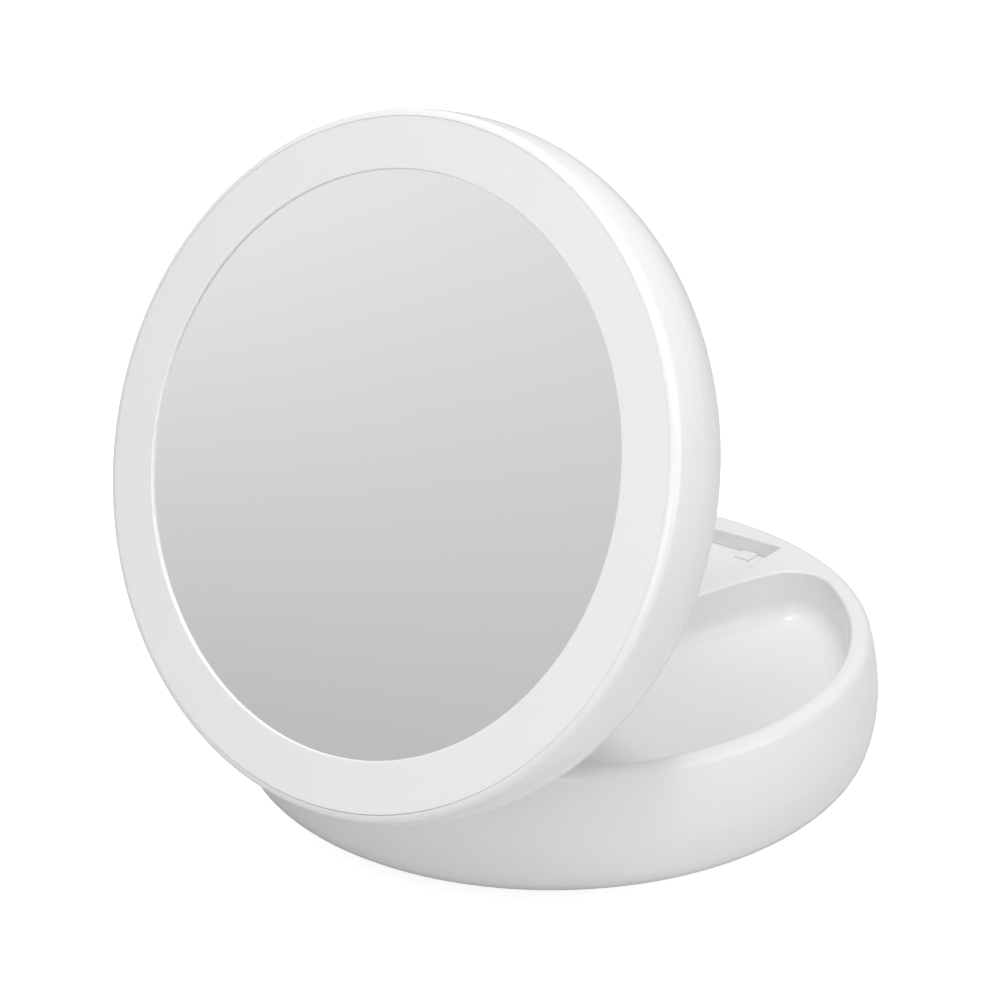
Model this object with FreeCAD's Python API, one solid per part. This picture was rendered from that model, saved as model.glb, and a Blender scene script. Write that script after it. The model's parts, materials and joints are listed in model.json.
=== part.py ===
import FreeCAD, Part
import math
import os
from FreeCAD import Vector

os.makedirs("parts", exist_ok=True)

# Round fold-down mirror with a lamp ring, hinged on a bowl-shaped base with two storage wells.
# Millimetres and degrees. Origin on the table under the base's axis, +Z up, hinge on the -Y side.

# Base bowl
widest_radius = 88.6
rim_draw = 3.0
rim_height = 44.0
widest_height = 24.6
flank_radius = 36.0
flank_angle = 16.8
turn_radius = 9.7
belly_slope = 18.0
base_wall = 2.2
deck_thickness = 2.2
rim_rounding = 3.4
parting_height = 22.6
lap_depth = 2.4
lap_wall = 1.6
fit_gap = 0.15
edge_margin = 1.0

# Storage wells
well_margin = 4.0
well_shift = 2.0
well_waist = 19.0
well_inner_radius = 145.0
well_hinge_gap = 15.0
well_far_corner = 11.0
well_near_corner = 5.5
well_depth = 15.0
well_floor_rounding = 6.0
well_wall = 1.8
well_lip = 0.8

# Control recess, opposite the hinge
recess_half_width = 25.0
recess_margin = 9.3
recess_length = 26.0
recess_depth = 4.9
recess_wall = 1.8
recess_ledge = 2.0
recess_lip = 0.7
panel_thickness = 2.0
tab_from = 12.4
tab_width = 5.0
tab_length = 5.2
tab_height = 0.6

# Power button and its switch
button_radius = 7.0
button_inset = 15.0
button_rise = 2.2
button_flange = 1.3
button_flange_thickness = 1.0
button_travel = 1.0
button_gap = 0.3
button_edge = 0.6
plunger_radius = 1.6
plunger_overlap = 0.6
plunger_gap = 0.06
switch_size = 6.2
switch_height = 2.0
switch_floor = 0.3
lens_radius = 1.0
lens_across = 20.3
lens_inset = 7.5
lens_flange = 0.6
lens_flange_thickness = 0.8
board_width = 44.0
board_length = 22.0
board_thickness = 1.6
board_drop = 4.4
board_boss_radius = 2.4
board_boss_x = 15.5
board_boss_inset = 4.6
board_boss_pitch = 15.4
board_screw_radius = 1.0
board_screw_head = 1.9
board_screw_head_height = 1.2
board_screw_bite = 3.5

# Hinge
hinge_inset = 13.6
hinge_drop = 7.8
open_angle = 67.8
stop_angle = 69.8
stop_gap = 0.6
scoop_wall = 1.6
roll_step = 0.1
roll_points = 13
pin_radius = 2.5
pin_gap = 0.05
barrel_radius = 6.0
barrel_half_length = 16.8
washer_thickness = 0.5
washer_radius = 5.4
ear_thickness = 6.0
side_gap = 0.1
pin_head_radius = 4.0
pin_head_thickness = 1.5
clip_radius = 4.2
clip_thickness = 0.8
pocket_gap = 1.4
pocket_wall = 2.0
bracket_plate = 2.8
bracket_length = 24.0
bracket_tail = 8.0
bracket_web = 8.0
bracket_screw_x = 11.0
bracket_screw_from = 10.0
bracket_screw_to = 20.0
clip_slot = 3.4
clip_groove = 1.9
pin_tail = 1.2

# Head
head_inset = 0.9
head_thickness = 22.0
head_widest_depth = 10.9
head_lip_draw = 1.2
head_back_draw = 1.8
head_back_rounding = 1.5
lip_rounding = 2.2
closed_gap = 0.5
back_plate = 2.5
back_spigot_height = 2.5
back_spigot_wall = 1.6
lip_width = 1.7
seam_gap = 0.1
diffuser_thickness = 2.0
diffuser_edge = 0.25
diffuser_roll = 1.2
ledge_width = 1.9
ledge_height = 1.6
lit_width = 13.1
mirror_thickness = 2.0
mirror_recess = 1.8
mirror_curve = 700.0
mirror_gap = 0.2
pad_thickness = 0.6
pad_margin = 10.5
pad_gap = 0.1
carrier_thickness = 2.2
carrier_wall = 1.6
carrier_depth = 11.0
trough_wall = 0.9
trough_depth = 8.0
lamp_board_width = 6.4
lamp_board_thickness = 1.2
lamp_count = 24
lamp_length = 3.5
lamp_width = 2.8
lamp_height = 1.4
head_post_radius = 3.2
cover_boss_radius = 4.2
post_root = 0.5
rim_web = 3.0
rim_screw_inset = 4.7
rim_screw_count = 6
rim_screw_angle = 30.0
carrier_screw_inset = 22.5
carrier_screw_count = 4
carrier_screw_angle = 45.0
screw_sink = 0.2

# Battery bay, four AA cells side by side
cell_radius = 7.15
cell_length = 50.5
cell_nub_radius = 2.7
cell_nub_height = 1.2
cell_pitch = 14.7
cell_count = 4
cell_lift = 0.3
contact_thickness = 0.5
contact_width = 9.0
contact_height = 10.0
spring_space = 4.5
bay_margin = 1.6
bay_wall = 2.0
bay_headroom = 0.6
door_thickness = 2.0
door_margin = 2.4
door_end = 6.4
door_gap = 0.2
door_screw_inset = 3.4
door_screw_seat = 1.4
door_boss_radius = 3.3
spring_width = 5.0
spring_half_height = 4.5
spring_leaf = 0.6

# Screws and feet
screw_radius = 1.4
screw_fit = 0.02
screw_head_radius = 2.7
screw_head_height = 1.6
screw_head_gap = 0.3
screw_bite = 5.0
base_boss_radius = 4.6
base_screw_x = 44.0
base_screw_y = 24.0
base_screw_seat = 12.0
foot_radius = 6.0
foot_proud = 1.0
foot_sunk = 1.0
foot_x = 28.0
foot_margin = 3.4

# Lamp leads
lead_radius = 0.9
lead_bend = 5.0
lead_across = 10.0
lead_inset = 6.0
lead_run_height = 24.6
lead_turn_gap = 34.0
lead_tail = 1.0
head_lead_inset = 15.0
head_lead_lift = 1.5
head_lead_bend = 3.5

# Places that follow from the sizes above
rim_radius = widest_radius - rim_draw
well_outer_radius = rim_radius - well_margin
hinge_reach = rim_radius - hinge_inset
well_end = hinge_reach - well_hinge_gap - well_shift
recess_far = rim_radius - recess_margin
recess_near = recess_far - recess_length
button_offset = recess_far - button_inset
lens_along = recess_far - lens_inset
board_boss_near = recess_near + board_boss_inset
board_boss_far = board_boss_near + board_boss_pitch
bracket_inner = hinge_reach - bracket_length
bracket_outer = hinge_reach + bracket_tail
bracket_screw_near = hinge_reach - bracket_screw_to
bracket_screw_far = hinge_reach - bracket_screw_from
head_radius = widest_radius - head_inset
head_lip_radius = head_radius - head_lip_draw
head_back_radius = head_radius - head_back_draw
seam_radius = head_lip_radius - lip_width
mirror_radius = seam_radius - lit_width
pad_radius = mirror_radius - pad_margin
rim_screw_circle = seam_radius - rim_screw_inset
carrier_screw_circle = mirror_radius - carrier_screw_inset
lead_start = recess_near + lead_inset
lead_turn = hinge_reach - lead_turn_gap
head_lead_hole = hinge_reach - head_lead_inset
hinge_height = rim_height - hinge_drop
hinge_point = Vector(0, -hinge_reach, hinge_height)
head_back = rim_height + closed_gap
head_front = head_back + head_thickness
back_top = head_back + back_plate
recess_floor = rim_height - recess_depth
panel_under = recess_floor - panel_thickness
rim_inner_radius = seam_radius + seam_gap
diffuser_under = head_front - diffuser_thickness
mirror_edge = head_front - mirror_recess
carrier_outer = mirror_radius + mirror_gap + carrier_wall
carrier_foot = diffuser_under - carrier_depth
trough_top = diffuser_under - ledge_height - fit_gap
trough_floor = trough_top - trough_depth
trough_outer = rim_inner_radius - fit_gap
trough_inner = carrier_outer + fit_gap
lamp_circle = (trough_inner + trough_outer) / 2
lamp_board_under = trough_floor + trough_wall
lamp_under = lamp_board_under + lamp_board_thickness
cover_top = back_top + back_spigot_height
head_lead_height = cover_top + head_lead_lift
cover_seat = head_back + screw_head_height + screw_sink
bracket_under = head_back - bracket_plate
bracket_seat = bracket_under + screw_head_height
board_top = panel_under - board_drop
board_under = board_top - board_thickness
bay_half_width = cell_pitch * cell_count / 2 + bay_margin
bay_half_length = (cell_length + spring_space) / 2 + contact_thickness
door_top = foot_proud + door_thickness
cell_height = door_top + cell_lift + cell_radius
bay_top = cell_height + cell_radius + bay_headroom
door_half_width = bay_half_width + door_margin
door_half_length = bay_half_length + door_end
door_screw_y = door_half_length - door_screw_inset
foot_y = door_half_length + foot_radius + foot_margin
well_bottom = rim_height - well_depth
ear_inner = barrel_half_length + washer_thickness + side_gap
ear_outer = ear_inner + ear_thickness
bore_end = ear_outer + clip_thickness + 2 * pin_tail
pocket_floor = hinge_height - barrel_radius - pocket_gap
pocket_back = -bracket_inner + pocket_gap
up = Vector(0, 0, 1)


def on_ring(radius, angle):
    turn = math.radians(angle)
    return Vector(radius * math.cos(turn), radius * math.sin(turn), 0)


def arc(start, middle, end):
    return Part.Arc(start, middle, end).toShape()


def line(start, end):
    return Part.makeLine(start, end)


def revolved(edges):
    face = Part.Face(Part.Wire(edges))
    return face.revolve(Vector(0, 0, 0), up, 360)


def polygon_revolved(points):
    corners = [Vector(r, 0, z) for r, z in points]
    edges = [line(a, b) for a, b in zip(corners, corners[1:] + corners[:1])]
    return revolved(edges)


def ring(inner, outer, low, high):
    return polygon_revolved([(inner, low), (outer, low), (outer, high), (inner, high)])


def block(x0, x1, y0, y1, z0, z1):
    return Part.makeBox(x1 - x0, y1 - y0, z1 - z0, Vector(x0, y0, z0))


def post(radius, x, y, low, high):
    return Part.makeCylinder(radius, high - low, Vector(x, y, low))


def barrel(radius, x0, x1):
    start = Vector(x0, -hinge_reach, hinge_height)
    return Part.makeCylinder(radius, x1 - x0, start, Vector(1, 0, 0))


def fused(shapes):
    return shapes[0].multiFuse(shapes[1:]).removeSplitter()


def corners_of(x, y):
    return [(x, y), (-x, y), (-x, -y), (x, -y)]


def spread(count, radius, start):
    return [on_ring(radius, start + 360.0 * i / count) for i in range(count)]


def edges_at(shape, height, test):
    found = []
    for edge in shape.Edges:
        box = edge.BoundBox
        if abs(box.ZMin - height) < 1e-4 and abs(box.ZMax - height) < 1e-4 and test(box):
            found.append(edge)
    return found


def screw(x, y, seat, tip):
    # Pan head below its seat, shank going up.
    head = post(screw_head_radius, x, y, seat - screw_head_height, seat)
    shank = post(screw_radius, x, y, seat, tip)
    return head.fuse(shank).removeSplitter()


def tube(points, radius, bend):
    # Straight runs joined by tangent arcs.
    edges = []
    start = points[0]
    for before, corner, after in zip(points, points[1:], points[2:]):
        into = (before - corner).normalize()
        out = (after - corner).normalize()
        half = into.getAngle(out) / 2
        reach = bend / math.tan(half)
        first = corner + into * reach
        last = corner + out * reach
        bisector = (into + out).normalize()
        middle = corner + bisector * (bend / math.sin(half) - bend)
        edges.append(line(start, first))
        edges.append(arc(first, middle, last))
        start = last
    edges.append(line(start, points[-1]))
    path = Part.Wire(edges)
    section = Part.Wire(Part.makeCircle(radius, points[0], points[1] - points[0]))
    return path.makePipeShell([section], True, False)


def flank_reach(z, inset):
    # Radius of the bowl's side below its widest level, moved in by a wall's thickness.
    return widest_radius - flank_radius + math.sqrt((flank_radius - inset) ** 2 - (widest_height - z) ** 2)


def base_body(inset, top):
    # Bowl of the base, moved in by a wall's thickness, from its floor up to a height.
    rise = rim_height - widest_height
    draw = widest_radius - rim_radius
    bulge = (rise ** 2 / draw + draw) / 2
    upper_centre = widest_radius - bulge
    flank_centre = widest_radius - flank_radius
    dip = math.radians(flank_angle)
    turn_x = flank_centre + (flank_radius - turn_radius) * math.cos(dip)
    turn_z = widest_height - (flank_radius - turn_radius) * math.sin(dip)
    low = math.radians(90 - belly_slope)

    def upper(z):
        return Vector(upper_centre + math.sqrt((bulge - inset) ** 2 - (z - widest_height) ** 2), 0, z)

    def flank(z):
        return Vector(flank_reach(z, inset), 0, z)

    def turn(a):
        r = turn_radius - inset
        return Vector(turn_x + r * math.cos(a), 0, turn_z - r * math.sin(a))

    floor = foot_proud + inset
    belly_top = turn(low)
    foot = Vector(belly_top.x - (belly_top.z - floor) / math.tan(math.radians(belly_slope)), 0, floor)
    edges = [line(Vector(0, 0, floor), foot), line(foot, belly_top)]
    shoulder = turn(dip)
    edges.append(arc(belly_top, turn((low + dip) / 2), shoulder))
    side_top = min(top, widest_height)
    edges.append(arc(shoulder, flank((shoulder.z + side_top) / 2), flank(side_top)))
    if top > widest_height:
        edges.append(arc(upper(widest_height), upper((widest_height + top) / 2), upper(top)))
    end = edges[-1].Vertexes[-1].Point
    edges.append(line(end, Vector(0, 0, top)))
    edges.append(line(Vector(0, 0, top), Vector(0, 0, floor)))
    return revolved(edges)


def above(height):
    return post(2 * widest_radius, 0, 0, height, 2 * rim_height)


def below(height):
    return post(2 * widest_radius, 0, 0, -rim_height, height)


def well(grow, depth, rounding):
    # Lens between the rim's arc and a wide arc past the middle, cut straight beside the hinge,
    # and set a little towards the hinge.
    outer = well_outer_radius + grow
    inner = well_inner_radius + grow
    centre = Vector(well_waist + well_inner_radius, 0, 0)
    far = well_far_corner
    near = well_near_corner
    far_x = (centre.x ** 2 - (well_inner_radius - far) ** 2 + (well_outer_radius - far) ** 2) / (2 * centre.x)
    far_c = Vector(far_x, math.sqrt((well_outer_radius - far) ** 2 - far_x ** 2), 0)
    near_y = near - well_end
    rim_c = Vector(math.sqrt((well_outer_radius - near) ** 2 - near_y ** 2), near_y, 0)
    waist_c = Vector(centre.x - math.sqrt((well_inner_radius - near) ** 2 - near_y ** 2), near_y, 0)

    def toward(c, origin, reach):
        return origin + (c - origin).normalize() * reach

    def corner(start, c, radius, end):
        bisector = ((start - c).normalize() + (end - c).normalize()).normalize()
        return arc(start, c + bisector * radius, end)

    zero = Vector(0, 0, 0)
    far_rim = toward(far_c, zero, outer)
    rim_near = toward(rim_c, zero, outer)
    end_rim = rim_c + Vector(0, -near - grow, 0)
    end_waist = waist_c + Vector(0, -near - grow, 0)
    waist_near = toward(waist_c, centre, inner)
    far_waist = toward(far_c, centre, inner)
    edges = [
        arc(far_rim, toward(far_rim + rim_near, zero, outer), rim_near),
        corner(rim_near, rim_c, near + grow, end_rim),
        line(end_rim, end_waist),
        corner(end_waist, waist_c, near + grow, waist_near),
        arc(waist_near, Vector(centre.x - inner, 0, 0), far_waist),
        corner(far_waist, far_c, far + grow, far_rim),
    ]
    face = Part.Face(Part.Wire(edges))
    solid = face.extrude(Vector(0, 0, depth))
    solid.translate(Vector(0, -well_shift, rim_height - depth))
    return solid.makeFillet(rounding, edges_at(solid, rim_height - depth, lambda box: True))


def both_sides(shape):
    return [shape, shape.mirror(Vector(0, 0, 0), Vector(1, 0, 0))]


def head_outline(grow):
    # Outside of the closed head as one solid, grown by a gap.
    low = head_back - grow
    widest = head_front - head_widest_depth
    rounding = head_back_rounding + grow
    back_r = head_back_radius + grow
    side_r = head_radius + grow
    lip = Vector(head_lip_radius + grow, 0, head_front)
    side = Vector(side_r, 0, widest)
    back = Vector(back_r, 0, low + rounding)
    foot = Vector(back_r - rounding, 0, low)
    bend = rounding * math.sin(math.pi / 4)
    knee = Vector(back_r - rounding + bend, 0, low + rounding - bend)

    def bulge(a, b):
        # Arc that leaves the widest point straight along the head's axis.
        rise = b.z - a.z
        drop = a.x - b.x
        radius = (rise ** 2 / drop + drop) / 2
        half_z = rise / 2
        return Vector(a.x - radius + math.sqrt(radius ** 2 - half_z ** 2), 0, a.z + half_z)

    edges = [
        line(Vector(0, 0, low), foot),
        arc(foot, knee, back),
        arc(back, bulge(side, back), side),
        arc(side, bulge(side, lip), lip),
        line(lip, Vector(0, 0, head_front)),
        line(Vector(0, 0, head_front), Vector(0, 0, low)),
    ]
    return revolved(edges)


def opened(shape, angle=open_angle):
    turned = shape.copy()
    turned.rotate(hinge_point, Vector(1, 0, 0), angle)
    return turned


def swing_room(inner, grow):
    # What the head's back edge sweeps beyond the hinge, turned about the hinge from above to its stop.
    half = math.sqrt(head_back_radius ** 2 - hinge_reach ** 2)
    height = head_back - hinge_height
    outer = []
    for i in range(roll_points):
        x = half * (2.0 * i / (roll_points - 1) - 1)
        beyond = math.sqrt(head_back_radius ** 2 - x ** 2) - hinge_reach
        reach = math.hypot(beyond, height) + grow
        outer.append(hinge_point + Vector(x, 0, reach))
    curve = Part.BSplineCurve()
    curve.interpolate(outer)
    low_start = hinge_point + Vector(-half - grow, 0, inner)
    low_end = hinge_point + Vector(half + grow, 0, inner)
    high_start = Vector(low_start.x, low_start.y, outer[0].z)
    high_end = Vector(low_end.x, low_end.y, outer[-1].z)
    face = Part.Face(Part.Wire([
        line(low_start, high_start), line(high_start, outer[0]), curve.toShape(),
        line(outer[-1], high_end), line(high_end, low_end), line(low_end, low_start),
    ]))
    before = 90 - stop_angle
    face.rotate(hinge_point, Vector(1, 0, 0), -before)
    return face.revolve(hinge_point, Vector(1, 0, 0), stop_angle + before)


def mirror_surface(r, depth):
    # Height of a sphere's cap, depth below the mirror's front at its edge.
    sag = mirror_curve - math.sqrt(mirror_curve ** 2 - mirror_radius ** 2)
    return mirror_edge - sag - depth + mirror_curve - math.sqrt(mirror_curve ** 2 - r ** 2)


def cap_arc(radius, depth):
    points = [Vector(r, 0, mirror_surface(r, depth)) for r in (0, radius / 2, radius)]
    return arc(*points), points[0], points[2]


def dished_disc(radius, top_depth, bottom_depth):
    top, top_axis, top_edge = cap_arc(radius, top_depth)
    low, low_axis, low_edge = cap_arc(radius, bottom_depth)
    return revolved([top, line(top_edge, low_edge), low, line(low_axis, top_axis)])


def base_upper():
    outside = base_body(0, rim_height)
    rim_edge = edges_at(outside, rim_height, lambda box: box.XMax > edge_margin)
    outside = outside.makeFillet(rim_rounding, rim_edge)
    outside = outside.common(above(parting_height))
    low = parting_height - lap_depth
    cavity = base_body(base_wall, rim_height - deck_thickness).common(above(low))
    lap_inner = flank_reach(parting_height, base_wall + fit_gap + lap_wall)
    kept = [ring(lap_inner, 2 * widest_radius, low, parting_height + lap_depth)]
    kept += both_sides(well(well_wall, well_depth + well_wall, well_floor_rounding + well_wall))
    kept.append(block(
        -recess_half_width - recess_wall, recess_half_width + recess_wall,
        recess_near - recess_wall, recess_far + recess_wall,
        panel_under - recess_ledge, rim_height,
    ))
    kept.append(block(
        -ear_outer, ear_outer, -rim_radius, pocket_back + pocket_wall, pocket_floor - pocket_wall, rim_height,
    ))
    kept.append(opened(head_outline(stop_gap + scoop_wall), stop_angle))
    kept.append(swing_room(hinge_drop + roll_step - scoop_wall, stop_gap + scoop_wall))
    for x, y in corners_of(base_screw_x, base_screw_y):
        kept.append(post(base_boss_radius, x, y, low, well_bottom))
    for shape in kept:
        cavity = cavity.cut(shape)
    solid = outside.cut(cavity)
    cutters = both_sides(well(0, well_depth, well_floor_rounding))
    cutters.append(block(
        -recess_half_width, recess_half_width, recess_near, recess_far, panel_under, 2 * rim_height,
    ))
    cutters.append(block(
        -recess_half_width + recess_ledge, recess_half_width - recess_ledge,
        recess_near + recess_ledge, recess_far - recess_ledge,
        panel_under - 2 * recess_ledge, rim_height,
    ))
    cutters.append(block(-ear_inner, ear_inner, -2 * rim_radius, pocket_back, pocket_floor, 2 * rim_height))
    cutters.append(opened(head_outline(stop_gap), stop_angle))
    cutters.append(swing_room(hinge_drop + roll_step, stop_gap))
    cutters.append(barrel(pin_radius + screw_fit, -bore_end, bore_end))
    lead_start_point = Vector(lead_across, pocket_back - pocket_wall, hinge_height)
    along = Vector(0, 1, 0)
    cutters.append(Part.makeCylinder(lead_radius + fit_gap, 3 * pocket_wall, lead_start_point, along))
    for x, y in corners_of(base_screw_x, base_screw_y):
        cutters.append(post(screw_radius + screw_fit, x, y, 0, parting_height + screw_bite + screw_head_gap))
    for cutter in cutters:
        solid = solid.cut(cutter)
    lip = []
    well_foot = -well_end - well_shift - 2 * edge_margin
    inside = lambda box: box.YMin > well_foot and box.YMax < recess_far
    for edge in edges_at(solid, rim_height, inside):
        middle = edge.CenterOfMass
        if abs(middle.x) > recess_half_width + edge_margin:
            lip.append(edge)
    solid = solid.makeFillet(well_lip, lip)
    beside = recess_half_width + edge_margin
    around = lambda box: abs(box.Center.x) < beside and box.YMin > recess_near - edge_margin
    solid = solid.makeFillet(recess_lip, edges_at(solid, rim_height, around))
    lap = base_body(base_wall + fit_gap, parting_height).common(above(low))
    lap = lap.cut(base_body(base_wall + fit_gap + lap_wall, parting_height))
    return fused([solid, lap])


def base_lower():
    solid = base_body(0, parting_height).cut(base_body(base_wall, parting_height))
    bay_outer = block(
        -bay_half_width - bay_wall, bay_half_width + bay_wall,
        -bay_half_length - bay_wall, bay_half_length + bay_wall, foot_proud, bay_top + bay_wall,
    )
    ledge = block(
        -door_half_width - bay_wall, door_half_width + bay_wall,
        -door_half_length - bay_wall, door_half_length + bay_wall, foot_proud, door_top + bay_wall,
    )
    added = [bay_outer, ledge]
    for x, y in corners_of(base_screw_x, base_screw_y):
        added.append(post(base_boss_radius, x, y, foot_proud, parting_height))
    for y in (door_screw_y, -door_screw_y):
        added.append(post(door_boss_radius, 0, y, door_top, door_top + screw_bite + bay_wall))
    solid = fused([solid] + added)
    cutters = [
        block(-bay_half_width, bay_half_width, -bay_half_length, bay_half_length, 0, bay_top),
        block(
            -door_half_width - door_gap, door_half_width + door_gap,
            -door_half_length - door_gap, door_half_length + door_gap, 0, door_top,
        ),
    ]
    for x, y in corners_of(base_screw_x, base_screw_y):
        cutters.append(post(screw_head_radius + screw_head_gap, x, y, 0, base_screw_seat))
        cutters.append(post(screw_radius + screw_head_gap, x, y, 0, parting_height + lap_depth))
    for y in (door_screw_y, -door_screw_y):
        cutters.append(post(screw_radius + screw_fit, 0, y, 0, door_top + screw_bite))
    for x, y in corners_of(foot_x, foot_y):
        cutters.append(post(foot_radius + fit_gap, x, y, 0, foot_proud + foot_sunk))
    for cutter in cutters:
        solid = solid.cut(cutter)
    return solid.removeSplitter()


def base_screws():
    tip = parting_height + screw_bite
    return [screw(x, y, base_screw_seat, tip) for x, y in corners_of(base_screw_x, base_screw_y)]


def feet():
    # Four under the bowl and one in the middle of the battery door.
    places = corners_of(foot_x, foot_y) + [(0, 0)]
    return [post(foot_radius, x, y, 0, foot_proud + foot_sunk) for x, y in places]


def battery_door():
    door = block(
        -door_half_width, door_half_width, -door_half_length, door_half_length, foot_proud, door_top,
    )
    for y in (door_screw_y, -door_screw_y):
        door = door.cut(post(screw_radius + screw_head_gap, 0, y, 0, 2 * door_top))
        door = door.cut(post(screw_head_radius + screw_head_gap, 0, y, 0, foot_proud + door_screw_seat))
    return door.cut(post(foot_radius + fit_gap, 0, 0, 0, foot_proud + foot_sunk))


def door_screws():
    seat = foot_proud + door_screw_seat
    tip = door_top + screw_bite - screw_head_gap
    return [screw(0, y, seat, tip) for y in (door_screw_y, -door_screw_y)]


def cell_places():
    # Across, and which way the nub points.
    first = -cell_pitch * (cell_count - 1) / 2
    return [(first + cell_pitch * i, 1 if i % 2 == 0 else -1) for i in range(cell_count)]


def battery_cells():
    cells = []
    for x, way in cell_places():
        face = way * (bay_half_length - contact_thickness)
        shoulder = Vector(x, face - way * cell_nub_height, cell_height)
        body = Part.makeCylinder(cell_radius, cell_length - cell_nub_height, shoulder, Vector(0, -way, 0))
        nub = Part.makeCylinder(cell_nub_radius, cell_nub_height, shoulder, Vector(0, way, 0))
        cells.append(body.fuse(nub).removeSplitter())
    return cells


def contact_plates():
    plates = []
    half = contact_width / 2
    for x, _ in cell_places():
        for y0 in (-bay_half_length, bay_half_length - contact_thickness):
            plates.append(block(
                x - half, x + half, y0, y0 + contact_thickness,
                cell_height - contact_height / 2, cell_height + contact_height / 2,
            ))
    return plates


def contact_springs():
    # Bent leaf from each plate to the flat end of its cell.
    springs = []
    for x, way in cell_places():
        plate = -way * (bay_half_length - contact_thickness)
        cell_end = plate + way * spring_space
        outline = [
            (plate, -spring_half_height), (cell_end, -spring_leaf), (cell_end, spring_leaf),
            (plate, spring_half_height), (plate, spring_half_height - 2 * spring_leaf),
            (cell_end - way * spring_leaf, 0), (plate, 2 * spring_leaf - spring_half_height),
        ]
        corners = [Vector(x - spring_width / 2, y, cell_height + z) for y, z in outline]
        face = Part.Face(Part.makePolygon(corners + corners[:1]))
        springs.append(face.extrude(Vector(spring_width, 0, 0)))
    return springs


def board_bosses():
    return [(x, y) for x in (-board_boss_x, board_boss_x) for y in (board_boss_near, board_boss_far)]


def control_panel():
    panel = block(
        fit_gap - recess_half_width, recess_half_width - fit_gap,
        recess_near + fit_gap, recess_far - fit_gap, panel_under, recess_floor,
    )
    added = [post(board_boss_radius, x, y, board_top, panel_under) for x, y in board_bosses()]
    tab_end = recess_far - fit_gap
    for x in (tab_from, -tab_from - tab_width):
        tab_top = recess_floor + tab_height
        added.append(block(x, x + tab_width, tab_end - tab_length, tab_end, panel_under, tab_top))
    panel = fused([panel] + added)
    panel = panel.cut(post(button_radius + button_gap, 0, button_offset, 0, rim_height))
    panel = panel.cut(post(lens_radius + screw_fit, lens_across, lens_along, 0, rim_height))
    for x, y in board_bosses():
        panel = panel.cut(post(board_screw_radius + screw_fit, x, y, 0, board_top + board_screw_bite))
    return panel.removeSplitter()


def indicator_lens():
    stem = post(lens_radius, lens_across, lens_along, board_top, recess_floor)
    flange_low = panel_under - lens_flange_thickness
    flange = post(lens_radius + lens_flange, lens_across, lens_along, flange_low, panel_under)
    return stem.fuse(flange).removeSplitter()


def control_board():
    middle = (recess_near + recess_far) / 2
    board = block(
        -board_width / 2, board_width / 2, middle - board_length / 2, middle + board_length / 2,
        board_under, board_top,
    )
    for x, y in board_bosses():
        board = board.cut(post(board_screw_radius + screw_head_gap, x, y, 0, rim_height))
    return board


def board_screws():
    screws = []
    for x, y in board_bosses():
        head = post(board_screw_head, x, y, board_under - board_screw_head_height, board_under)
        shank = post(board_screw_radius, x, y, board_under, board_top + board_screw_bite)
        screws.append(head.fuse(shank).removeSplitter())
    return screws


def tact_switch():
    half = switch_size / 2
    switch_top = board_top + switch_height
    switch = block(-half, half, button_offset - half, button_offset + half, board_top, switch_top)
    hole = post(plunger_radius + plunger_gap, 0, button_offset, board_top + switch_floor, rim_height)
    return switch.cut(hole)


def button_under():
    return board_top + switch_height + button_travel + screw_sink


def power_button():
    under = button_under()
    top = recess_floor + button_rise
    cap = post(button_radius, 0, button_offset, under, top)
    cap = cap.makeFillet(button_edge, edges_at(cap, top, lambda box: True))
    flange = post(button_radius + button_flange, 0, button_offset, under, under + button_flange_thickness)
    return cap.fuse(flange).removeSplitter()


def switch_plunger():
    low = board_top + switch_height - plunger_overlap
    return post(plunger_radius, 0, button_offset, low, button_under())


def hinge_pin():
    tail = ear_outer + clip_thickness + pin_tail
    shank = barrel(pin_radius, -tail, ear_outer)
    head = barrel(pin_head_radius, ear_outer, ear_outer + pin_head_thickness)
    groove = barrel(2 * pin_radius, -ear_outer - clip_thickness, -ear_outer)
    groove = groove.cut(barrel(clip_groove, -2 * ear_outer, 2 * ear_outer))
    return shank.fuse(head).cut(groove).removeSplitter()


def pin_clip():
    clip = barrel(clip_radius, -ear_outer - clip_thickness, -ear_outer)
    clip = clip.cut(barrel(clip_groove, -2 * ear_outer, 2 * ear_outer))
    half = clip_slot / 2
    return clip.cut(block(
        -2 * ear_outer, 0, -hinge_reach - half, -hinge_reach + half, hinge_height, 2 * rim_height,
    ))


def friction_washers():
    washers = []
    for x0 in (barrel_half_length + side_gap / 2, -barrel_half_length - side_gap / 2 - washer_thickness):
        disc = barrel(washer_radius, x0, x0 + washer_thickness)
        washers.append(disc.cut(barrel(pin_radius + pin_gap, -ear_outer, ear_outer)))
    return washers


def lamp_lead():
    points = [
        Vector(lead_across, lead_start, board_under),
        Vector(lead_across, lead_start, lead_run_height),
        Vector(lead_across, -lead_turn, lead_run_height),
        Vector(lead_across, -lead_turn, hinge_height),
        Vector(lead_across, pocket_back - lead_tail, hinge_height),
    ]
    return tube(points, lead_radius, lead_bend)


def rim_screw_places():
    return spread(rim_screw_count, rim_screw_circle, rim_screw_angle)


def carrier_screw_places():
    return spread(carrier_screw_count, carrier_screw_circle, carrier_screw_angle)


def bracket_screw_places():
    rows = (-bracket_screw_near, -bracket_screw_far)
    return [Vector(x, y, 0) for x in (-bracket_screw_x, bracket_screw_x) for y in rows]


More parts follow.
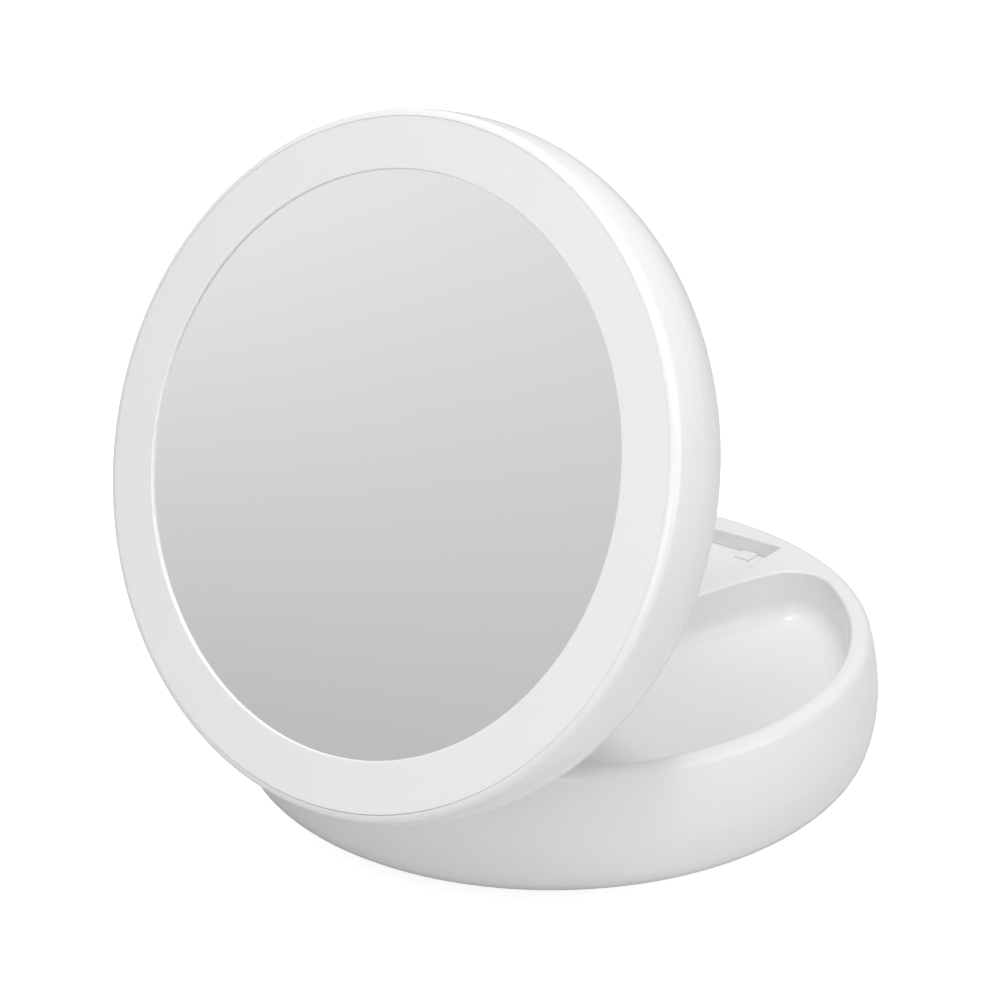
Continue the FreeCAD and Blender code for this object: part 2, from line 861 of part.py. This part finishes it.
def head_back_cover():
    root = back_top - post_root
    pieces = [head_outline(0).common(below(back_top))]
    pieces.append(ring(trough_outer - back_spigot_wall, trough_outer, root, cover_top))
    for p in rim_screw_places() + carrier_screw_places():
        pieces.append(post(cover_boss_radius, p.x, p.y, root, cover_top))
    for p in bracket_screw_places():
        pieces.append(post(head_post_radius, p.x, p.y, root, cover_top + screw_bite))
    cover = fused(pieces)
    for p in rim_screw_places() + carrier_screw_places():
        cover = cover.cut(post(screw_head_radius + screw_head_gap, p.x, p.y, 0, cover_seat))
        cover = cover.cut(post(screw_radius + screw_head_gap, p.x, p.y, 0, 2 * rim_height))
    for p in bracket_screw_places():
        cover = cover.cut(post(screw_radius + screw_fit, p.x, p.y, 0, cover_top + screw_bite - screw_sink))
    cover = cover.cut(post(lead_radius + fit_gap, 0, -head_lead_hole, 0, 2 * rim_height))
    return cover.removeSplitter()


def head_rim():
    outside = head_outline(0)
    front_edge = edges_at(outside, head_front, lambda box: box.XMax > edge_margin)
    outside = outside.makeFillet(lip_rounding, front_edge)
    solid = outside.common(above(back_top))
    solid = solid.cut(post(rim_inner_radius, 0, 0, 0, diffuser_under - ledge_height))
    solid = solid.cut(post(rim_inner_radius - ledge_width, 0, 0, 0, 2 * rim_height))
    solid = solid.cut(post(rim_inner_radius, 0, 0, diffuser_under, 2 * rim_height))
    added = []
    for i, p in enumerate(rim_screw_places()):
        added.append(post(head_post_radius, p.x, p.y, cover_top, trough_floor))
        web_length = rim_inner_radius + post_root - rim_screw_circle
        web = block(0, web_length, -rim_web / 2, rim_web / 2, cover_top, trough_floor)
        web.rotate(Vector(0, 0, 0), up, rim_screw_angle + 360.0 * i / rim_screw_count)
        web.translate(p)
        added.append(web)
    solid = fused([solid] + added)
    for p in rim_screw_places():
        solid = solid.cut(post(screw_radius + screw_fit, p.x, p.y, 0, cover_top + screw_bite))
    return solid.removeSplitter()


def diffuser_ring():
    inner = mirror_radius + mirror_gap
    middle = (inner + seam_radius) / 2
    body = ring(inner, seam_radius, diffuser_under, head_front)
    body = body.makeFillet(diffuser_edge, edges_at(body, head_front, lambda box: box.XMax > middle))
    return body.makeFillet(diffuser_roll, edges_at(body, head_front, lambda box: box.XMax < middle))


def mirror():
    return dished_disc(mirror_radius, 0, mirror_thickness)


def mirror_pad():
    front = mirror_thickness + pad_gap
    return dished_disc(pad_radius, front, front + pad_thickness)


def mirror_carrier():
    seat = mirror_thickness + pad_thickness + 2 * pad_gap
    wall_inner = mirror_radius + mirror_gap
    pieces = [dished_disc(wall_inner + carrier_wall / 2, seat, seat + carrier_thickness)]
    pieces.append(ring(wall_inner, carrier_outer, carrier_foot, diffuser_under))
    for p in carrier_screw_places():
        reach = mirror_surface(carrier_screw_circle, seat + carrier_thickness / 2)
        pieces.append(post(head_post_radius, p.x, p.y, cover_top, reach))
    solid = fused(pieces)
    for p in carrier_screw_places():
        solid = solid.cut(post(screw_radius + screw_fit, p.x, p.y, 0, cover_top + screw_bite + screw_sink))
    return solid.removeSplitter()


def reflector():
    inner_top = trough_inner + trough_wall
    outer_top = trough_outer - trough_wall
    solid = polygon_revolved([
        (trough_inner, trough_floor), (trough_outer, trough_floor), (trough_outer, trough_top),
        (outer_top, trough_top), (outer_top, lamp_board_under), (inner_top, lamp_board_under),
        (inner_top, trough_top), (trough_inner, trough_top),
    ])
    end = head_lead_points()[-1]
    return solid.cut(post(lead_radius + fit_gap, end.x, end.y, 0, lamp_board_under))


def lamp_board():
    half = lamp_board_width / 2
    return ring(lamp_circle - half, lamp_circle + half, lamp_board_under, lamp_under)


def lamps():
    group = []
    for i in range(lamp_count):
        lamp = block(
            lamp_circle - lamp_width / 2, lamp_circle + lamp_width / 2, -lamp_length / 2, lamp_length / 2,
            lamp_under, lamp_under + lamp_height,
        )
        lamp.rotate(Vector(0, 0, 0), up, 360.0 * (i + 0.5) / lamp_count)
        group.append(lamp)
    return group


def cover_screws(places):
    return [screw(p.x, p.y, cover_seat, cover_top + screw_bite - screw_sink) for p in places]


def hinge_bracket():
    plate = block(
        -barrel_half_length, barrel_half_length, -bracket_outer, -bracket_inner, bracket_under, head_back,
    )
    half = bracket_web / 2
    web = block(
        -barrel_half_length, barrel_half_length, -hinge_reach - half, -hinge_reach + half,
        hinge_height, bracket_under + bracket_plate / 2,
    )
    solid = fused([plate, web, barrel(barrel_radius, -barrel_half_length, barrel_half_length)])
    solid = solid.cut(barrel(pin_radius + pin_gap, -ear_outer, ear_outer))
    for p in bracket_screw_places():
        solid = solid.cut(post(screw_head_radius + screw_head_gap, p.x, p.y, 0, bracket_seat))
        solid = solid.cut(post(screw_radius + screw_head_gap, p.x, p.y, 0, 2 * rim_height))
    solid = solid.cut(post(lead_radius + fit_gap, 0, -head_lead_hole, 0, 2 * rim_height))
    return solid.removeSplitter()


def bracket_screws():
    tip = cover_top + screw_bite - 2 * screw_sink
    return [screw(p.x, p.y, bracket_seat, tip) for p in bracket_screw_places()]


def head_lead_points():
    along = math.sqrt(lamp_circle ** 2 - lead_across ** 2)
    return [
        Vector(0, -head_lead_hole, bracket_under),
        Vector(0, -head_lead_hole, head_lead_height),
        Vector(lead_across, -along, head_lead_height),
        Vector(lead_across, -along, lamp_board_under),
    ]


def head_lead():
    return tube(head_lead_points(), lead_radius, head_lead_bend)


def as_one(shapes):
    return Part.makeCompound(shapes)


base_parts = {
    "base_upper": base_upper(),
    "base_lower": base_lower(),
    "base_screws": as_one(base_screws()),
    "feet": as_one(feet()),
    "battery_door": battery_door(),
    "door_screws": as_one(door_screws()),
    "battery_cells": as_one(battery_cells()),
    "contact_plates": as_one(contact_plates()),
    "contact_springs": as_one(contact_springs()),
    "control_panel": control_panel(),
    "indicator_lens": indicator_lens(),
    "control_board": control_board(),
    "board_screws": as_one(board_screws()),
    "tact_switch": tact_switch(),
    "hinge_pin": hinge_pin(),
    "pin_clip": pin_clip(),
    "friction_washers": as_one(friction_washers()),
    "lamp_lead": lamp_lead(),
    "power_button": power_button(),
    "switch_plunger": switch_plunger(),
}

head_parts = {
    "head_rim": head_rim(),
    "head_back_cover": head_back_cover(),
    "diffuser_ring": diffuser_ring(),
    "mirror": mirror(),
    "mirror_pad": mirror_pad(),
    "mirror_carrier": mirror_carrier(),
    "reflector": reflector(),
    "lamp_board": lamp_board(),
    "lamps": as_one(lamps()),
    "rim_screws": as_one(cover_screws(rim_screw_places())),
    "carrier_screws": as_one(cover_screws(carrier_screw_places())),
    "hinge_bracket": hinge_bracket(),
    "bracket_screws": as_one(bracket_screws()),
    "head_lead": head_lead(),
}

# The head is drawn shut and exported open, as it stands in the picture.
parts = dict(base_parts)
for name, shape in head_parts.items():
    parts[name] = opened(shape)

for name, shape in parts.items():
    print(name, shape.isValid(), len(shape.Solids), round(shape.Volume, 1))
    shape.exportStep("parts/" + name + ".step")
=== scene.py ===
import json
import math

import bpy
import numpy as np
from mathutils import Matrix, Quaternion, Vector


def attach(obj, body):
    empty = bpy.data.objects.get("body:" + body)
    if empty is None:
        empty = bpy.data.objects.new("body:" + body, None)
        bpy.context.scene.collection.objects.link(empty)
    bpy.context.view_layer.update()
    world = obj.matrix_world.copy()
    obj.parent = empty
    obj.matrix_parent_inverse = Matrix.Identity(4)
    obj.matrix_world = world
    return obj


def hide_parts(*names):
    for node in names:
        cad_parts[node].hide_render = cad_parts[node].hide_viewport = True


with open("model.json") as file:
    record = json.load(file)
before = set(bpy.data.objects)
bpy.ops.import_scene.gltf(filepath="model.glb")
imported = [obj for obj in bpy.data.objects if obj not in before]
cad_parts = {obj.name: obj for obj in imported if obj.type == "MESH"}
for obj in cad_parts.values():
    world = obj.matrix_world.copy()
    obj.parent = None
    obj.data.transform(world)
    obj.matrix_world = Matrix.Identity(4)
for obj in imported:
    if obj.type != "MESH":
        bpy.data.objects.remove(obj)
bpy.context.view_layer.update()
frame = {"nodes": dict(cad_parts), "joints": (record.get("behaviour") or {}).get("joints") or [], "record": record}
nodes = frame["nodes"]
mm = 0.001
white = (1, 1, 1, 1)
print("frame loaded:", len(nodes), "nodes")

# the hinge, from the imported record: pieces of the head are drawn shut and turned open about it
hinge = next(joint for joint in frame["joints"] if joint["name"] == "head_hinge")
hingeAt = np.array(hinge["pos_m"])
openTurn = math.radians(-hinge["range_deg"][0])


# points (x, y, z) of the shut head, turned about the hinge's x axis to where the open head stands
def openHead(points):
    c, s = math.cos(openTurn), math.sin(openTurn)
    turn = np.array([[1, 0, 0], [0, c, -s], [0, s, c]])
    return (points - hingeAt) @ turn.T + hingeAt


# a profile (r, z) carried round the z axis: x = r cos a, y = r sin a;
# one that isn't closed starts and ends on the axis, and each of its ends becomes a pole
def spun(profile, steps, closed):
    ringRows = profile if closed else profile[1:-1]
    angle = np.linspace(0, 2 * math.pi, steps, endpoint=False)
    grid = np.empty((len(ringRows), steps, 3))
    grid[..., 0] = ringRows[:, :1] * np.cos(angle)
    grid[..., 1] = ringRows[:, :1] * np.sin(angle)
    grid[..., 2] = ringRows[:, 1:]
    points = grid.reshape(-1, 3)
    row = np.arange(len(ringRows) if closed else len(ringRows) - 1)
    col = np.arange(steps)
    a, b = np.meshgrid(row, col, indexing="ij")
    here = a * steps
    there = (a + 1) % len(ringRows) * steps
    beside = (b + 1) % steps
    quads = np.stack([here + b, here + beside, there + beside, there + b], -1)
    faces = quads.reshape(-1, 4).tolist()
    if not closed:
        first, last = len(points), len(points) + 1
        poles = [[0, 0, profile[0, 1]], [0, 0, profile[-1, 1]]]
        points = np.vstack([points, poles])
        end = (len(ringRows) - 1) * steps
        faces += np.stack([np.full(steps, first), (col + 1) % steps, col], -1).tolist()
        faces += np.stack([np.full(steps, last), end + col, end + (col + 1) % steps], -1).tolist()
    return points, faces


# an arc of a profile about (cr, cz), from one angle to another, in degrees
def bend(cr, cz, radius, start, end, count):
    a = np.radians(np.linspace(start, end, count))
    return np.stack([cr + radius * np.cos(a), cz + radius * np.sin(a)], -1)


# finishes: how every noise is read, and what a finish has unless its own look says otherwise
noiseLook = {"detail": 3.0, "skinDetail": 4.0, "low": 0.15, "high": 0.85}
plainLook = {
    "metallic": 0.0, "coat": 0.0, "coatRoughness": 0.1, "ior": 1.5,
    "milk": 0.0, "milkDepth": 0.002, "milkSpread": (1, 1, 1),
}


def newFinish(name):
    finish = bpy.data.materials.new(name)
    finish.use_nodes = True
    tree = finish.node_tree
    return finish, tree.nodes, tree.links, tree.nodes["Principled BSDF"]


def noiseAt(tree, links, scale, detail):
    where = tree.new("ShaderNodeTexCoord")
    noise = tree.new("ShaderNodeTexNoise")
    noise.inputs["Scale"].default_value = scale
    noise.inputs["Detail"].default_value = detail
    links.new(where.outputs["Object"], noise.inputs["Vector"])
    return noise.outputs["Fac"]


def spreadBetween(tree, links, value, low, high):
    ranged = tree.new("ShaderNodeMapRange")
    ranged.inputs["From Min"].default_value = noiseLook["low"]
    ranged.inputs["From Max"].default_value = noiseLook["high"]
    ranged.inputs["To Min"].default_value = low
    ranged.inputs["To Max"].default_value = high
    links.new(value, ranged.inputs["Value"])
    return ranged.outputs["Result"]


def colourBetween(tree, links, value, first, second):
    ramp = tree.new("ShaderNodeValToRGB")
    ramp.color_ramp.elements[0].position = noiseLook["low"]
    ramp.color_ramp.elements[1].position = noiseLook["high"]
    ramp.color_ramp.elements[0].color = (*first, 1)
    ramp.color_ramp.elements[1].color = (*second, 1)
    links.new(value, ramp.inputs["Fac"])
    return ramp.outputs["Color"]


# cloudy base colour, uneven gloss and a fine skin, each from its own noise
def skinned(name, ownLook):
    look = {**plainLook, **ownLook}
    finish, tree, links, shader = newFinish(name)
    cloud = noiseAt(tree, links, look["cloudScale"], noiseLook["detail"])
    colour = colourBetween(tree, links, cloud, look["colour"], look["colour2"])
    links.new(colour, shader.inputs["Base Color"])
    gloss = noiseAt(tree, links, look["glossScale"], noiseLook["detail"])
    links.new(spreadBetween(tree, links, gloss, *look["roughness"]), shader.inputs["Roughness"])
    bump = tree.new("ShaderNodeBump")
    bump.inputs["Strength"].default_value = look["skin"]
    bump.inputs["Distance"].default_value = look["skinDepth"]
    links.new(noiseAt(tree, links, look["skinScale"], noiseLook["skinDetail"]), bump.inputs["Height"])
    links.new(bump.outputs["Normal"], shader.inputs["Normal"])
    shader.inputs["Metallic"].default_value = look["metallic"]
    shader.inputs["Coat Weight"].default_value = look["coat"]
    shader.inputs["Coat Roughness"].default_value = look["coatRoughness"]
    shader.inputs["Subsurface Weight"].default_value = look["milk"]
    shader.inputs["Subsurface Scale"].default_value = look["milkDepth"]
    shader.inputs["Subsurface Radius"].default_value = look["milkSpread"]
    shader.inputs["IOR"].default_value = look["ior"]
    return finish


finishLooks = {
    "shell_white": {
        "colour": (0.826, 0.826, 0.826), "colour2": (0.84, 0.84, 0.84), "cloudScale": 18,
        "roughness": (0.2, 0.24), "glossScale": 60,
        "skin": 0.03, "skinDepth": 0.00003, "skinScale": 1800, "coat": 0.12, "coatRoughness": 0.05,
    },
    "panel_white": {
        "colour": (0.81, 0.81, 0.81), "colour2": (0.825, 0.825, 0.825), "cloudScale": 40,
        "roughness": (0.4, 0.48), "glossScale": 90,
        "skin": 0.15, "skinDepth": 0.00006, "skinScale": 2600,
    },
    "button_white": {
        "colour": (0.815, 0.815, 0.815), "colour2": (0.83, 0.83, 0.83), "cloudScale": 60,
        "roughness": (0.26, 0.32), "glossScale": 120,
        "skin": 0.06, "skinDepth": 0.00004, "skinScale": 2400,
    },
    "diffuser_white": {
        "colour": (0.83, 0.83, 0.83), "colour2": (0.842, 0.842, 0.842), "cloudScale": 14,
        "roughness": (0.36, 0.42), "glossScale": 50,
        "skin": 0.08, "skinDepth": 0.00003, "skinScale": 3000, "milk": 0.3, "milkDepth": 0.001,
    },
    "mirror_silver": {
        "colour": (0.85, 0.85, 0.855), "colour2": (0.865, 0.865, 0.87), "cloudScale": 9,
        "roughness": (0.0, 0.025), "glossScale": 16,
        "skin": 0.0, "skinDepth": 0.00001, "skinScale": 200, "metallic": 1.0,
    },
    "inner_white": {
        "colour": (0.82, 0.82, 0.82), "colour2": (0.85, 0.85, 0.85), "cloudScale": 30,
        "roughness": (0.5, 0.6), "glossScale": 80,
        "skin": 0.1, "skinDepth": 0.00005, "skinScale": 2000,
    },
    "foot_grey": {
        "colour": (0.4, 0.4, 0.41), "colour2": (0.46, 0.46, 0.47), "cloudScale": 80,
        "roughness": (0.7, 0.85), "glossScale": 150,
        "skin": 0.3, "skinDepth": 0.0001, "skinScale": 1500,
    },
    "pad_grey": {
        "colour": (0.26, 0.26, 0.26), "colour2": (0.32, 0.32, 0.32), "cloudScale": 60,
        "roughness": (0.8, 0.95), "glossScale": 150,
        "skin": 0.5, "skinDepth": 0.0002, "skinScale": 900,
    },
    "steel": {
        "colour": (0.58, 0.58, 0.6), "colour2": (0.66, 0.66, 0.68), "cloudScale": 90,
        "roughness": (0.22, 0.38), "glossScale": 300,
        "skin": 0.08, "skinDepth": 0.00005, "skinScale": 1200, "metallic": 1.0,
    },
    "cell_can": {
        "colour": (0.05, 0.055, 0.06), "colour2": (0.08, 0.085, 0.09), "cloudScale": 40,
        "roughness": (0.25, 0.35), "glossScale": 120,
        "skin": 0.04, "skinDepth": 0.00004, "skinScale": 900,
    },
    "board_green": {
        "colour": (0.02, 0.16, 0.07), "colour2": (0.04, 0.24, 0.11), "cloudScale": 220,
        "roughness": (0.3, 0.5), "glossScale": 260,
        "skin": 0.2, "skinDepth": 0.00008, "skinScale": 900,
    },
    "switch_black": {
        "colour": (0.02, 0.02, 0.02), "colour2": (0.035, 0.035, 0.035), "cloudScale": 120,
        "roughness": (0.45, 0.6), "glossScale": 200,
        "skin": 0.1, "skinDepth": 0.00005, "skinScale": 1800,
    },
    "lens_clear": {
        "colour": (0.74, 0.74, 0.74), "colour2": (0.79, 0.79, 0.79), "cloudScale": 300,
        "roughness": (0.08, 0.16), "glossScale": 400,
        "skin": 0.02, "skinDepth": 0.00003, "skinScale": 1200, "milk": 0.2, "milkDepth": 0.001,
    },
    "lamp_cream": {
        "colour": (0.85, 0.78, 0.42), "colour2": (0.92, 0.86, 0.5), "cloudScale": 500,
        "roughness": (0.25, 0.35), "glossScale": 500,
        "skin": 0.05, "skinDepth": 0.00004, "skinScale": 1500,
    },
    "lead_white": {
        "colour": (0.74, 0.74, 0.74), "colour2": (0.8, 0.8, 0.8), "cloudScale": 90,
        "roughness": (0.45, 0.6), "glossScale": 200,
        "skin": 0.1, "skinDepth": 0.00006, "skinScale": 1500,
    },
}
finishes = {slot: skinned(slot, look) for slot, look in finishLooks.items()}
print("finishes made:", len(finishes))

for part in frame["record"]["subparts"]:
    target = nodes[part["node"]]
    target.data.materials.clear()
    target.data.materials.append(finishes[part["material_slot"]])
print("solids finished:", len(nodes))


# a new piece on a body, in place of CAD nodes; edges sharper than the angle, in degrees, stay sharp
def addPiece(name, points, faces, body, replacing, slot, smoothAngle):
    mesh = bpy.data.meshes.new(name)
    mesh.from_pydata(points.tolist(), [], faces)
    mesh.update()
    mesh.shade_smooth()
    mesh.set_sharp_from_angle(angle=math.radians(smoothAngle))
    mesh.materials.append(finishes[slot])
    piece = bpy.data.objects.new(name, mesh)
    bpy.context.scene.collection.objects.link(piece)
    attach(piece, body)
    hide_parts(*replacing)


# the mirror: a spherical cap, z = edge - sag + R - sqrt(R^2 - r^2), with a small ground edge
mirrorShape = {
    "radius": 71.97, "curve": 700.0, "edgeHeight": 65.6, "thickness": 2.0, "ground": 0.06,
    "rows": 48, "steps": 256, "smoothAngle": 20,
}


def mirrorGlass(shape):
    radius, curve, ground = shape["radius"], shape["curve"], shape["ground"]
    r = np.linspace(0, radius - ground, shape["rows"])
    sag = curve - math.sqrt(curve ** 2 - radius ** 2)
    dish = shape["edgeHeight"] - sag + curve - np.sqrt(curve ** 2 - r ** 2)
    front = np.stack([r, dish], -1)
    back = np.stack([r, dish - shape["thickness"]], -1)[::-1]
    side = [[radius, front[-1, 1] - ground], [radius, back[0, 1] + ground]]
    profile = np.vstack([front, side, back])[::-1]
    points, faces = spun(profile * mm, shape["steps"], False)
    smoothAngle = shape["smoothAngle"]
    addPiece("mirrorGlass", openHead(points), faces, "head", ["mirror"], "mirror_silver", smoothAngle)


mirrorGlass(mirrorShape)
print("mirror made")


# the lamp ring: a flat band carried round the axis, its front edges turned over by small arcs, with a
# narrow row beside each that keeps the flats flat; a hair off centre, so its seams are wider on one side
ringShape = {
    "inner": 71.9, "outer": 84.84, "under": 64.5, "front": 66.42, "edge": 0.12, "roll": 0.3, "hold": 0.05,
    "offCentre": (-0.035, 0.035, 0), "arcRows": 7, "steps": 256, "smoothAngle": 40,
}


def lampRing(shape):
    inner, outer, under, front = shape["inner"], shape["outer"], shape["under"], shape["front"]
    edge, roll, hold = shape["edge"], shape["roll"], shape["hold"]
    outerArc = bend(outer - edge, front - edge, edge, 0, 90, shape["arcRows"])
    innerArc = bend(inner + roll, front - roll, roll, 90, 180, shape["arcRows"])
    held = [[outer - edge - hold, front], [inner + roll + hold, front]]
    wallHold = [[inner, innerArc[-1, 1] - hold]]
    low = [[inner, under], [outer, under]]
    profile = np.vstack([low, outerArc, held, innerArc, wallHold])
    points, faces = spun(profile * mm, shape["steps"], True)
    points = points + np.array(shape["offCentre"]) * mm
    smoothAngle = shape["smoothAngle"]
    addPiece("lampRing", openHead(points), faces, "head", ["diffuser_ring"], "diffuser_white", smoothAngle)


lampRing(ringShape)
print("lamp ring made")


# turns a camera or lamp to look along a direction, rolled about it by some degrees
def pointAlong(thing, forward, roll=0.0):
    turn = Vector(forward).to_track_quat("-Z", "Y") @ Quaternion((0, 0, 1), math.radians(roll))
    thing.rotation_euler = turn.to_euler()


# the camera: place and nearest clip in metres, roll in degrees, lens and sensor in millimetres
shot = {
    "place": (0.3866, -0.51095, 0.35486), "forward": (-0.57027, 0.72028, -0.39496), "roll": -1.164,
    "lens": 93.6, "sensor": 36.0, "nearest": 0.01,
}
camera = bpy.data.objects.new("camera", bpy.data.cameras.new("camera"))
camera.location = shot["place"]
pointAlong(camera, shot["forward"], shot["roll"])
camera.data.lens = shot["lens"]
camera.data.sensor_width = shot["sensor"]
camera.data.clip_start = shot["nearest"]
bpy.context.scene.collection.objects.link(camera)
bpy.context.scene.camera = camera

# square soft boxes, all aimed at one point: places and sizes in metres, power in watts
lampAim = (0, 0, 0.08)
lampSet = {
    "topFront": {"place": (0.1, -0.6, 1.1), "size": 0.5, "power": 3.85},
    "rightWall": {"place": (1.2, 0.2, 0.4), "size": 0.8, "power": 2.75},
    "nearRight": {"place": (0.32, -0.25, 0.5), "size": 0.2, "power": 0.2},
    "lowRight": {"place": (0.3, -0.48, 0.22), "size": 0.2, "power": 0.3},
    "smallHigh": {"place": (0.25, -0.05, 1.2), "size": 0.12, "power": 3.1},
}


def softBox(name, look):
    lamp = bpy.data.lights.new(name, "AREA")
    lamp.shape = "SQUARE"
    lamp.size = look["size"]
    lamp.energy = look["power"]
    box = bpy.data.objects.new(name, lamp)
    box.location = look["place"]
    pointAlong(box, Vector(lampAim) - Vector(look["place"]))
    bpy.context.scene.collection.objects.link(box)


for lampName, lampLook in lampSet.items():
    softBox(lampName, lampLook)
print("camera and lamps set:", len(lampSet), "lamps")

# surroundings: white to the camera, a soft fall of grey along one direction to gloss,
# and to all other light a grey that fades from overhead to nothing at the horizon
surround = {
    "up": (0, 0, 1), "zenith": 0.86, "horizon": 0.0,
    "along": (-0.2063, 0.4133, 0.8869), "low": -0.0485, "high": 0.0458, "bright": 0.907, "dim": 0.594,
}


# strength that goes from one value to another as the looking direction turns towards a given one
def alongSky(tree, links, direction, low, high, first, last):
    where = tree.new("ShaderNodeTexCoord")
    along = tree.new("ShaderNodeVectorMath")
    along.operation = "DOT_PRODUCT"
    along.inputs[1].default_value = direction
    links.new(where.outputs["Generated"], along.inputs[0])
    fall = tree.new("ShaderNodeMapRange")
    fall.inputs["From Min"].default_value = low
    fall.inputs["From Max"].default_value = high
    fall.inputs["To Min"].default_value = first
    fall.inputs["To Max"].default_value = last
    links.new(along.outputs["Value"], fall.inputs["Value"])
    return fall.outputs["Result"]


def whiteGlow(tree):
    glow = tree.new("ShaderNodeBackground")
    glow.inputs["Color"].default_value = white
    glow.inputs["Strength"].default_value = 1
    return glow


def studioWorld(look):
    world = bpy.data.worlds.new("studio")
    bpy.context.scene.world = world
    world.use_nodes = True
    tree, links = world.node_tree.nodes, world.node_tree.links
    tree.clear()
    plain, shiny, seen = whiteGlow(tree), whiteGlow(tree), whiteGlow(tree)
    fillFall = alongSky(tree, links, look["up"], 0, 1, look["horizon"], look["zenith"])
    links.new(fillFall, plain.inputs["Strength"])
    glossSpan = look["low"], look["high"], look["bright"], look["dim"]
    glossFall = alongSky(tree, links, look["along"], *glossSpan)
    links.new(glossFall, shiny.inputs["Strength"])
    path = tree.new("ShaderNodeLightPath")
    unseen, whole = tree.new("ShaderNodeMixShader"), tree.new("ShaderNodeMixShader")
    links.new(path.outputs["Is Glossy Ray"], unseen.inputs["Fac"])
    links.new(plain.outputs[0], unseen.inputs[1])
    links.new(shiny.outputs[0], unseen.inputs[2])
    links.new(path.outputs["Is Camera Ray"], whole.inputs["Fac"])
    links.new(unseen.outputs[0], whole.inputs[1])
    links.new(seen.outputs[0], whole.inputs[2])
    worldOut = tree.new("ShaderNodeOutputWorld")
    links.new(whole.outputs[0], worldOut.inputs["Surface"])


studioWorld(surround)

# pale floor: lit grey plus a share of its own white to the camera, so only the shadow shows
floorLook = {"half": 6.0, "colour": (0.7, 0.7, 0.7), "roughness": 0.9, "own": 0.8}


def paleFloor(look):
    half = look["half"]
    corners = [(-half, -half, 0), (half, -half, 0), (half, half, 0), (-half, half, 0)]
    mesh = bpy.data.meshes.new("floor")
    mesh.from_pydata(corners, [], [(0, 1, 2, 3)])
    floor = bpy.data.objects.new("floor", mesh)
    bpy.context.scene.collection.objects.link(floor)
    finish, tree, links, shader = newFinish("floorPale")
    shader.inputs["Base Color"].default_value = (*look["colour"], 1)
    shader.inputs["Roughness"].default_value = look["roughness"]
    shader.inputs["Emission Color"].default_value = white
    path = tree.new("ShaderNodeLightPath")
    own = tree.new("ShaderNodeMath")
    own.operation = "MULTIPLY"
    own.inputs[1].default_value = look["own"]
    links.new(path.outputs["Is Camera Ray"], own.inputs[0])
    links.new(own.outputs[0], shader.inputs["Emission Strength"])
    mesh.materials.append(finish)


paleFloor(floorLook)
print("studio made")

bpy.context.scene.view_settings.view_transform = "Standard"
